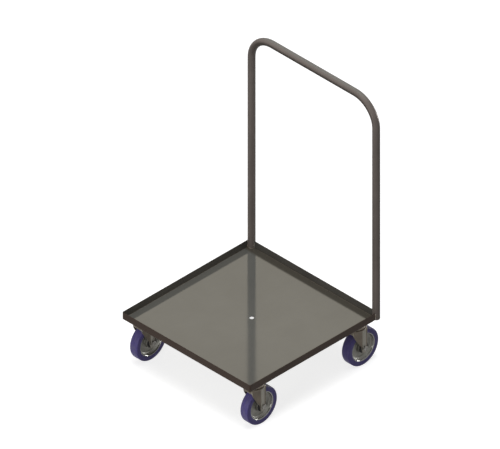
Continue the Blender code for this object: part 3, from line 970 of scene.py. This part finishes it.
def stiffenerMesh(node, ends):
    low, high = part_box(node)
    half, middle = boxHalf(node), boxMiddle(node)
    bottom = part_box(ends[0] + "_top_plate")[1].z + bar["plateGap"]
    rounding, edge = bar["cornerRadius"], bar["edge"]
    base = flatBarMesh("stiffener", half.x, half.y, rounding, bottom, high.z, edge)
    tip, radius = low.z, bar["studDiameter"] / 2
    foot = radius + bar["studFoot"]
    profile = [(radius - bar["studTip"], tip), *threadProfile(radius, tip + 0.0005, tip + 0.0055)]
    profile += [(radius, tip + 0.006), (radius, bottom - 0.0004)]
    profile += [(foot, bottom + 0.0002), (foot, bottom + 0.001)]
    studs = []
    for corner in ends:
        for spot in studSpots(corner):
            stud = latheMesh("stud", profile, fastener["sides"], False)
            studs.append(shifted(stud, spot.x, spot.y))
    return combineMeshes(shifted(base, middle.x, middle.y), studs, "UNION", "stiffener")


def stitchMesh(node):
    low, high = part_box(node)
    inset, half = bar["stitchInset"], bar["stitchLength"] / 2
    build = bmesh.new()
    z = panLow.z - weld["standOff"]
    for edgeY, way in ((low.y, -1), (high.y, 1)):
        facing = Vector((0, way, -1))
        for x in evenly(low.x + inset, high.x - inset, bar["stitches"] - 1):
            line = [(Vector((end, edgeY, z)), facing) for end in (x - half, x + half)]
            build.from_mesh(beadMesh("stitch", line, weld["width"], weld["height"] * 0.8))
    return meshFrom(build, "stitchWeld", 75)


for word in ("front", "rear"):
    node, ends = word + "_stiffener", (word + "_left", word + "_right")
    barMesh = stiffenerMesh(node, ends)
    addPiece(word + "Stiffener", barMesh, stiffenerSteel, "root", [node])
    addPiece(word + "StitchWelds", stitchMesh(node), weldMetal, "root")
print("stiffeners made")


# caster top plate, kingpin and race

plate = {
    "cornerRadius": 0.006,
    "edge": 0.0006,
    "slotWidth": 0.0088,
    "slotLength": 0.0125,
    "pinHead": 0.0224,
    "pinHeadHeight": 0.0015,
    "pinDiameter": 0.012,
    "pinThread": 0.0102,
    "pinGap": 0.0003,
    "cutReach": 0.002,
}
race = {
    "radius": 0.0302,
    "lipRadius": 0.0296,
    "groove": 0.0004,
    "grooveDepth": 0.0016,
    "sides": 96,
}


def plateMesh(corner):
    half, middle = boxHalf(corner + "_top_plate"), boxMiddle(corner + "_top_plate")
    thick, gap, over = half.z * 2, plate["pinGap"], plate["cutReach"]
    rounding, edge = plate["cornerRadius"], plate["edge"]
    mesh = flatBarMesh("casterPlate", half.x, half.y, rounding, -thick, 0, edge)
    wide, far = plate["slotWidth"] / 2, plate["slotLength"] / 2
    cutters = []
    for spot in studSpots(corner):
        rings = [roundedBox(wide, far, wide - 0.00005, z, 0, 10) for z in (-thick - over, over)]
        slot = skinRings("slot", rings)
        cutters.append(shifted(slot, spot.x - middle.x, spot.y - middle.y))
    cutters.append(plugMesh(plate["pinHead"] / 2 + gap, -plate["pinHeadHeight"] - gap, over))
    cutters.append(plugMesh(plate["pinDiameter"] / 2 + gap, -thick - over, over))
    return combineMeshes(mesh, cutters, "DIFFERENCE", "casterPlate")


def raceMesh(height):
    outer, lip, groove = race["radius"], race["lipRadius"], race["groove"]
    inner = plate["pinDiameter"] / 2 + plate["pinGap"]
    middle = -height * 0.5
    section = [
        (inner, 0),
        (outer - 0.0012, 0, 0.0012),
        (outer, -0.0016, 0.0009),
        (outer, middle + groove, 0.0003),
        (outer - race["grooveDepth"], middle + groove * 0.6, 0.0003),
        (outer - race["grooveDepth"], middle - groove * 0.6, 0.0003),
        (lip, middle - groove, 0.0004),
        (lip, -height + 0.0014, 0.0008),
        (lip - 0.0014, -height, 0.0008),
        (inner, -height),
    ]
    return latheMesh("ballRace", roundCorners(section, 4), race["sides"])


def kingpinMesh(length):
    head, drop = plate["pinHead"] / 2, plate["pinHeadHeight"]
    radius, thread = plate["pinDiameter"] / 2, plate["pinThread"]
    profile = [(head - 0.0006, 0), (head, -0.0005), (head, -drop), (radius, -drop - 0.0002)]
    profile.append((radius, -length + thread + 0.0003))
    profile += threadProfile(radius, -length + thread, -length + 0.0008)
    profile.append((radius - fastener["tip"], -length))
    return skinRings("kingpin", turned(profile, fastener["sides"]), sharpAngle=40)


# swivel fork, one pressed sheet: z = 0 at the top of its crown, swivel axis on Z

fork = {
    "sheet": 0.003,
    "crownRadius": 0.0315,
    "shoulder": 0.0024,
    "pinHole": 0.0063,
    "crownRings": (0.013, 0.02),  # radii of two more rings of points on its flat top
    "skirt": 0.0135,
    "skirtDip": 0.002,  # how much deeper the skirt runs beside the legs
    "skirtBlend": 26,  # degrees round the crown over which a leg runs out into the skirt
    "legOut": 0.019,
    "neckTop": -0.003,
    "neckEnd": -0.0135,
    "legFront": -0.0275,
    "legRear": 0.0295,
    "trail": 0.0175,
    "axleDrop": 0.0803,
    "axleHole": 0.0051,
    "cutReach": 0.03,  # the hole is cut from this far out on both sides
    "frontEnds": -0.018,
    "frontBend": (-0.0285, -0.0235),  # height and reach where the front edge turns in
    "frontKnee": (-0.058, -0.0055),
    "frontSoft": 0.0045,  # how far the turns of the front edge are smoothed
    "softRise": 0.004,  # and the height over which that starts above the leg's end
    "waist": 0.0125,
    "waistRise": 0.008,
    "endRadius": 0.0095,
    "endDrop": 0.008,
    "endTurn": 84,  # degrees of the leg's round end that the rows reach
    "endHalf": 0.0008,  # at least this half width is left there
    "ribWidth": 0.011,
    "ribHeight": 0.0016,
    "ribTaper": 0.0024,
    "ribY": 0.0152,
    "legColumns": 48,
    "frontColumns": 14,
    "rearColumns": 10,
    "legRows": 34,
    "endRows": 8,
    "skirtRows": 6,
    "edge": 0.00045,
}
legEndZ = -fork["axleDrop"] - fork["endDrop"]


def alongPoints(points, at):  # straight steps between (z, y) points, from the top down
    if at >= points[0][0]:
        return points[0][1]
    for (zA, yA), (zB, yB) in zip(points, points[1:]):
        if at >= zB:
            return yA + (yB - yA) * (zA - at) / (zA - zB)
    return points[-1][1]


def legSpan(z):  # front and rear edge of a leg at this height
    trail, endRadius = fork["trail"], fork["endRadius"]
    if z <= legEndZ:
        half = math.sqrt(max(endRadius ** 2 - (z - legEndZ) ** 2, fork["endHalf"] ** 2))
        return trail - half, trail + half
    front = [
        (fork["frontEnds"], fork["legFront"]),
        fork["frontBend"],
        fork["frontKnee"],
        (-fork["axleDrop"] + fork["waistRise"], trail - fork["waist"]),
        (legEndZ, trail - endRadius),
    ]
    rear = [(fork["neckTop"], fork["legRear"]), (legEndZ, trail + endRadius)]
    reach = fork["frontSoft"] * min(1, (z - legEndZ) / fork["softRise"])
    samples = [alongPoints(front, z + reach * (i / 4 - 1)) for i in range(9)]
    return sum(samples) / len(samples), alongPoints(rear, z)


def neckShare(z):  # 0 on the round crown, 1 where the legs stand apart from it
    return smoothStep((fork["neckTop"] - z) / (fork["neckTop"] - fork["neckEnd"]))


def ribRise(y, z):
    nearest = min(max(z, -fork["axleDrop"]), fork["neckEnd"] + 0.004)
    away = math.hypot(y - fork["ribY"], z - nearest)
    taper = fork["ribTaper"]
    return fork["ribHeight"] * (1 - smoothStep((away - fork["ribWidth"] / 2 + taper) / taper))


def forkColumns():  # (angle, where across a leg or None, which side) once round the crown
    radius, front, rear = fork["crownRadius"], fork["legFront"], fork["legRear"]
    frontAngle, rearAngle = math.asin(front / radius), math.asin(rear / radius)
    shares = evenly(0, 1, fork["legColumns"])
    across = [(math.asin((front + (rear - front) * share) / radius), share) for share in shares]
    behind = evenly(rearAngle, math.pi - rearAngle, fork["rearColumns"])[1:-1]
    ahead = evenly(math.pi - frontAngle, 2 * math.pi + frontAngle, fork["frontColumns"])[1:-1]
    columns = [(angle, share, 1) for angle, share in across]
    columns += [(angle, None, 0) for angle in behind]
    columns += [(math.pi - angle, share, -1) for angle, share in reversed(across)]
    columns += [(angle, None, 0) for angle in ahead]
    return columns, frontAngle, rearAngle


def forkSkin():  # the outer skin of the pressed sheet, as a grid of points
    columns, frontAngle, rearAngle = forkColumns()
    radius, shoulder, skirt = fork["crownRadius"], fork["shoulder"], fork["skirt"]
    rows, endRows, skirtRows = fork["legRows"], fork["endRows"], fork["skirtRows"]
    edgeZ = -skirt - fork["skirtDip"]
    top = [(r, 0) for r in (fork["pinHole"], *fork["crownRings"])]
    top += [(radius - a, -b) for a, b in quarterArc(shoulder, 6)]
    legLevels = evenly(edgeZ, legEndZ, rows)[1:]
    for turn in evenly(0, math.radians(fork["endTurn"]), endRows)[1:]:
        legLevels.append(legEndZ - fork["endRadius"] * math.sin(turn))
    grid = []
    for angle, share, side in columns:
        cosine, sine = math.cos(angle), math.sin(angle)
        line = [(r * cosine, r * sine, z) for r, z in top]
        boundary, near = 0, 1
        if share is None:
            boundary = frontAngle if sine < 0 else rearAngle
            side = 1 if cosine > 0 else -1
            away = abs(math.asin(min(abs(sine), 1)) - abs(boundary))
            near = 1 - smoothStep(away / math.radians(fork["skirtBlend"]))
        lowest = -skirt - fork["skirtDip"] * near
        levels = evenly(-shoulder, lowest, skirtRows)[1:]
        for z in levels + (legLevels if share is not None else []):
            x, y = radius * abs(cosine), radius * sine
            shift = fork["legOut"] - x
            if share is None:
                shift = (fork["legOut"] - radius * math.cos(boundary)) * near
            else:
                front, rear = legSpan(z)
                y = front + (rear - front) * share
            line.append((side * (x + shift * neckShare(z)), y, z))
        grid.append(line)
    return grid


def forkMesh():
    build = bmesh.new()
    grid = [[build.verts.new(point) for point in line] for line in forkSkin()]
    for line, beside in zip(grid, grid[1:] + grid[:1]):
        for k in range(min(len(line), len(beside)) - 1):
            build.faces.new((line[k], line[k + 1], beside[k + 1], beside[k]))
    mesh = bpy.data.meshes.new("forkSheet")
    build.to_mesh(mesh)
    build.free()
    if mesh.polygons[0].normal.z < 0:
        mesh.flip_normals()
    holder = linked("holder", mesh)
    thicken = holder.modifiers.new("sheet", "SOLIDIFY")
    thicken.thickness = fork["sheet"]
    thicken.offset = -1
    thicken.use_even_offset = True
    thicken.use_quality_normals = True
    skinPoints = len(mesh.vertices)
    pressed = evaluatedMesh(holder, "forkSheet", 40)
    for vertex in pressed.vertices[:skinPoints]:  # the outer skin comes first
        rise = ribRise(vertex.co.y, vertex.co.z) * neckShare(vertex.co.z)
        vertex.co.x += math.copysign(rise, vertex.co.x)
    pressed = softenEdges(pressed, fork["edge"], 55, 40)
    reach = fork["cutReach"]
    bore = plugMesh(fork["axleHole"], -reach, reach, fastener["sides"], alongX)
    cutters = [shifted(bore, 0, fork["trail"], -fork["axleDrop"])]
    return combineMeshes(pressed, cutters, "DIFFERENCE", "forkSheet", 40)


# wheel, turned round the axle

wheel = {
    "sides": 128,
    "treadCrown": 0.00025,
    "tyreEdge": 0.0032,
    "floorGap": 0.00002,
    "coreRadius": 0.047,
    "rimHalf": 0.0144,
    "lip": 0.0024,
    "dish": 0.0115,
    "dishTaper": 0.004,
    "dishFillet": 0.0026,
    "hubRadius": 0.019,
    "hubDraft": 0.0006,  # how much wider the hub is where it leaves the dish
    "hubHalf": 0.0132,
    "sealHalf": 0.0156,
    "sealRadius": 0.0176,
    "boreRadius": 0.0083,
}
axle = {
    "diameter": 0.0095,
    "flats": 0.0143,
    "headHeight": 0.0044,
    "headEdge": 0.00015,
    "dishRim": 0.72,  # the shallow dish in the head, as shares of its round top
    "dishFloor": 0.66,
    "dishDepth": 0.0004,
    "nutHeight": 0.0059,
    "nutGap": 0.0002,
    "tail": 0.002,
    "seat": 0.0209,  # the ribs of the fork's legs
    "washer": 0.0004,
    "sleeveDiameter": 0.016,
    "sleeveHalf": 0.0157,
    "sleeveGap": 0.0003,
    "sleeveSides": 64,
}


def mirrored(section):  # the other side of a wheel section of (radius, offset, rounding)
    return section + [(point[0], -point[1], *point[2:]) for point in reversed(section)]


def coreMesh():
    core, half = wheel["coreRadius"], wheel["rimHalf"]
    lip = core - wheel["lip"]
    web = half - wheel["dish"]
    section = [
        (core, half, 0.0004),
        (lip, half, 0.003),
        (lip - wheel["dishTaper"], web, wheel["dishFillet"]),
        (wheel["hubRadius"] + wheel["hubDraft"], web, wheel["dishFillet"]),
        (wheel["hubRadius"], wheel["hubHalf"], 0.0005),
        (wheel["boreRadius"], wheel["hubHalf"]),
    ]
    outline = roundCorners(mirrored(section), 5)
    return latheMesh("wheelCore", outline, wheel["sides"], matrix=alongX)


def tyreMesh(radius, half):
    seat = wheel["coreRadius"]
    section = [
        (seat, half - 0.0004, 0.0002),
        (seat + 0.0012, half - 0.0001, 0.0003),
        (seat + 0.0018, half, 0.0003),
        (radius - wheel["treadCrown"], half, wheel["tyreEdge"]),
        (radius, half * 0.35, 0.01),
    ]
    outline = roundCorners(mirrored(section), 7)
    return latheMesh("tyre", outline, wheel["sides"], matrix=alongX)


def sealMesh(way):
    inner, outer = axle["sleeveDiameter"] / 2 + 0.0004, wheel["sealRadius"]
    low, high = wheel["hubHalf"] - 0.0002, wheel["sealHalf"]
    section = [
        (inner, low),
        (inner, high, 0.0004),
        (inner + 0.0035, high, 0.0004),
        (inner + 0.0041, high - 0.0006, 0.0004),
        (outer - 0.0022, high - 0.0006, 0.0005),
        (outer - 0.0014, high, 0.0004),
        (outer, high - 0.0004, 0.0005),
        (outer, low),
    ]
    profile = [(radius, way * height) for radius, height in roundCorners(section, 3)]
    return latheMesh("hubSeal", profile, wheel["sides"], matrix=alongX)


def axleBoltMesh():  # head on the +X side, threads beyond the nut
    sides, radius, flats = fastener["sides"], axle["diameter"] / 2, axle["flats"]
    seat, washer = axle["seat"], axle["seat"] + axle["washer"]
    top, end = seat + axle["headHeight"], -seat - axle["nutHeight"] - axle["tail"]
    rim = flats / 2 * fastener["rim"]
    shank = [(radius - fastener["tip"], end), *threadProfile(radius, end + 0.0006, -seat - 0.001)]
    shank += [(radius, -seat), (radius, seat), (rim, seat), (rim, washer)]
    rings = turned(shank, sides) + [hexRing(flats, washer, -1), hexRing(flats, top, 1)]
    dish = [(rim * axle["dishRim"], top), (rim * axle["dishFloor"], top - axle["dishDepth"])]
    rings += turned([(rim, top), *dish], sides)
    mesh = skinRings("axleBolt", rings, matrix=alongX, sharpAngle=25)
    return softenEdges(mesh, axle["headEdge"], 35, 25)


def sleeveMesh():
    inner, outer = axle["diameter"] / 2 + axle["sleeveGap"], axle["sleeveDiameter"] / 2
    half = axle["sleeveHalf"]
    section = [(inner, half, 0.0003), (outer, half, 0.0004)]
    section += [(outer, -half, 0.0004), (inner, -half, 0.0003)]
    outline = roundCorners(section, 3)
    return latheMesh("bearingSleeve", outline, axle["sleeveSides"], matrix=alongX)


def casterPieces():  # (name, node, mesh, finish and slot, body, place from the swivel axis)
    boxes = {}
    for node in ("top_plate", "swivel_race", "kingpin", "kingpin_nut", "plate_nut_1",
                 "swivel_fork", "tyre"):
        boxes[node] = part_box("front_left_" + node)
    size = {node: high - low for node, (low, high) in boxes.items()}
    top = {node: Vector((0, 0, high.z)) for node, (low, high) in boxes.items()}
    axis = boxMiddle("front_left_swivel_race")
    axis.z = 0
    hub = boxMiddle("front_left_tyre") - axis
    plates, races = (plateSteel, "plate_steel"), (raceSteel, "race_steel")
    bolts, forks = (boltSteel, "fastener_steel"), (forkSteel, "fork_steel")
    cores = (castAluminium, "core_aluminium")
    tyres, seals = (violetTyre, "tyre_polyurethane"), (sealRubber, "tyre_polyurethane")
    race = raceMesh(size["swivel_race"].z)
    pinFlats, pinHeight = size["kingpin_nut"].y, size["kingpin_nut"].z
    pinNut = nutMesh("kingpinNut", pinFlats, pinHeight, fastener["pinNutBore"])
    nutFlats, nutHeight = fastener["plateNutFlats"], size["plate_nut_1"].z
    plateNut = nutMesh("plateNut", nutFlats, nutHeight, fastener["plateNutBore"])
    axleNutBore = axle["diameter"] / 2 + axle["nutGap"]
    axleNut = nutMesh("axleNut", axle["flats"], axle["nutHeight"], axleNutBore, alongX)
    tyre = tyreMesh(size["tyre"].z / 2 - wheel["floorGap"], size["tyre"].x / 2)
    pieces = [
        ("Plate", "top_plate", plateMesh("front_left"), plates, "root", top["top_plate"]),
        ("Race", "swivel_race", race, races, "root", top["swivel_race"]),
        ("Kingpin", "kingpin", kingpinMesh(size["kingpin"].z), bolts, "root", top["kingpin"]),
        ("KingpinNut", "kingpin_nut", pinNut, bolts, "root", top["kingpin_nut"]),
    ]
    for number, spot in enumerate(studSpots("front_left"), 1):
        place = Vector((spot.x, spot.y, top["plate_nut_1"].z)) - axis
        pieces.append((f"PlateNut{number}", f"plate_nut_{number}", plateNut, bolts, "root", place))
    return pieces + [
        ("Fork", "swivel_fork", forkMesh(), forks, "swivel", top["swivel_fork"]),
        ("AxleBolt", "axle_bolt", axleBoltMesh(), bolts, "swivel", hub),
        ("AxleNut", "axle_nut", axleNut, bolts, "swivel", hub - Vector((axle["seat"], 0, 0))),
        ("Sleeve", "bearing_sleeve", sleeveMesh(), races, "swivel", hub),
        ("WheelCore", "wheel_core", coreMesh(), cores, "wheel", hub),
        ("Tyre", "tyre", tyre, tyres, "wheel", hub),
        ("OuterSeal", None, sealMesh(1), seals, "wheel", hub),
        ("InnerSeal", None, sealMesh(-1), seals, "wheel", hub),
    ]


def buildCasters():
    pieces = casterPieces()
    print("caster meshes made")
    for corner, word in corners.items():
        axis = boxMiddle(corner + "_swivel_race")
        axis.z = 0
        for name, node, mesh, (finish, slot), body, place in pieces:
            rider = body if body == "root" else f"{corner}_{body}"
            replaced = [f"{corner}_{node}"] if node else ()
            addPiece(word + name, mesh, finish, rider, replaced, axis + place)


buildCasters()
print("casters made")


# stage, light and camera

stage = {
    "floorSize": 16.0,
    "floorMatt": 0.45,  # the floor's tone under the light, as the camera sees it
    "floorBounce": 0.14,  # its tone for the light that it throws back on the dolly
    "floorWhite": 0.76,  # its own white for the camera, so that only a soft shadow shows
    "whiteFrom": 1.0,  # beyond this far out it grows to full white
    "whiteTo": 2.4,
    "worldStrength": 0.24,
    "lamps": {  # size, place and power of each square lamp
        "softbox": (2.4, (0.2, -0.3, 4.2), 148.0),
        "frontFill": (1.2, (0.5, -2.8, 0.6), 37.0),
        "rimLamp": (0.7, (0.95, 2.9, 0.4), 85.0),
    },
    "lampAim": 0.3,  # height on the dolly that the lamps face
    "pixelsPerMetre": 338.9,
    "imageWidth": 500,
    "imageHeight": 449,
    "targetPixel": (249.95, 319.12),
    "azimuth": 45,
    "elevation": 35.264,
    "cameraAway": 3,
    "cameraReach": 30,
}


def lightPathShare(tree):  # 1 for rays that see the background itself or its reflection
    path = addNode(tree, "LightPath")
    seen = mathOf(tree, "MAXIMUM", path.outputs["Is Camera Ray"], path.outputs["Is Glossy Ray"])
    return mathOf(tree, "MAXIMUM", seen, path.outputs["Is Transmission Ray"])


def addStage():
    half = stage["floorSize"] / 2
    build = bmesh.new()
    edges = ((-half, -half), (half, -half), (half, half), (-half, half))
    build.faces.new([build.verts.new((x, y, 0)) for x, y in edges])
    floor = linked("studioFloor", meshFrom(build, "studioFloor"))
    material, tree = startFinish("paleFloor")
    tree.nodes.remove(tree.nodes["Principled BSDF"])
    seen = lightPathShare(tree)
    tone = remap(tree, seen, 0.0, 1.0, stage["floorBounce"], stage["floorMatt"])
    matt = addNode(tree, "BsdfDiffuse", {"Color": tone})
    away = lengthOf(tree, addNode(tree, "TexCoord").outputs["Object"])
    white = remap(tree, away, stage["whiteFrom"], stage["whiteTo"], stage["floorWhite"], 1.0)
    strength = product(tree, seen, white)
    shine = addNode(tree, "Emission", {"Color": colour(1, 1, 1), "Strength": strength})
    added = addNode(tree, "AddShader", {0: matt.outputs[0], 1: shine.outputs[0]})
    fill(tree, tree.nodes["Material Output"], {"Surface": added.outputs[0]})
    floor.data.materials.append(material)


def addLamp(name, size, spot, power):  # a square soft lamp that faces the dolly
    light = bpy.data.lights.new(name, "AREA")
    light.shape = "SQUARE"
    light.size = size
    light.energy = power
    lamp = linked(name, light)
    lamp.location = spot
    lamp.visible_glossy = name != "softbox"  # else the pan mirrors it when seen from above
    lamp.visible_diffuse = name != "rimLamp"  # it only glints on the wheels' lips
    away = Vector(spot) - Vector((0, 0, stage["lampAim"]))
    lamp.rotation_euler = away.to_track_quat("Z", "Y").to_euler()


def addLight():
    world = bpy.data.worlds.new("studio")
    bpy.context.scene.world = world
    world.use_nodes = True
    tree = world.node_tree
    strength = remap(tree, lightPathShare(tree), 0.0, 1.0, stage["worldStrength"], 1.0)
    fill(tree, tree.nodes["Background"], {"Color": colour(1, 1, 1), "Strength": strength})
    for name, (size, spot, power) in stage["lamps"].items():
        addLamp(name, size, spot, power)


def addCamera():
    azimuth, elevation = math.radians(stage["azimuth"]), math.radians(stage["elevation"])
    level = math.cos(elevation)
    back = Vector((math.sin(azimuth) * level, -math.cos(azimuth) * level, math.sin(elevation)))
    right = Vector((math.cos(azimuth), math.sin(azimuth), 0))
    scale, (pixelX, pixelY) = stage["pixelsPerMetre"], stage["targetPixel"]
    data = bpy.data.cameras.new("photoView")
    data.type = "ORTHO"
    data.ortho_scale = stage["imageWidth"] / scale
    data.clip_end = stage["cameraReach"]
    camera = linked("photoView", data)
    across = (pixelX - stage["imageWidth"] / 2) / scale
    down = (pixelY - stage["imageHeight"] / 2) / scale
    target = Vector((panCentre.x, panCentre.y, panLow.z))
    place = target - right * across + back.cross(right) * down
    camera.location = place + back * stage["cameraAway"]
    camera.rotation_euler = back.to_track_quat("Z", "Y").to_euler()
    bpy.context.scene.camera = camera


addStage()
addLight()
addCamera()
bpy.context.scene.view_settings.view_transform = "Standard"
print("stage, light and camera set")
